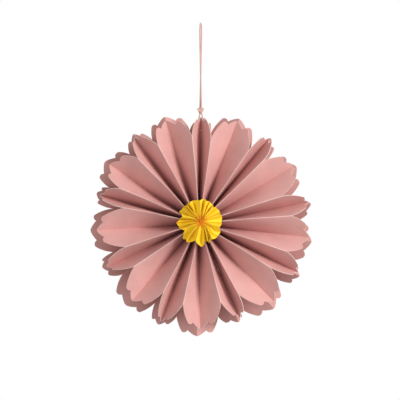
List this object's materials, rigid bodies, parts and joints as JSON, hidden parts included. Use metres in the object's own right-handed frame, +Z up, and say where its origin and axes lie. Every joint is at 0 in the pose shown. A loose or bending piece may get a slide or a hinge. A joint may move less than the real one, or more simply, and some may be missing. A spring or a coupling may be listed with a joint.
{
  "type": "paper fan rosette",
  "caption": "Hanging flower of pleated card: two toothed rosettes back to back with yellow pleated centres, on a string loop.",
  "frame": {"origin": "inside of the string loop's top, where it hangs on a hook", "axes": "+Z up along the string, the flower faces -Y, +X to the viewer's right"},
  "size_m": [0.2021, 0.0728, 0.2868],
  "materials": {
    "pink_card": "matte dusty-pink card with pale cut edges",
    "yellow_paper": "matte golden yellow paper",
    "pink_string": "thin twisted string, pale pink"
  },
  "bodies": {
    "root": {"front_rosette": "pink_card", "back_rosette": "pink_card", "front_centre": "yellow_paper", "back_centre": "yellow_paper", "hanging_loop": "pink_string", "petal_tie": "pink_string", "string_knot": "pink_string"}
  },
  "joints": []
}
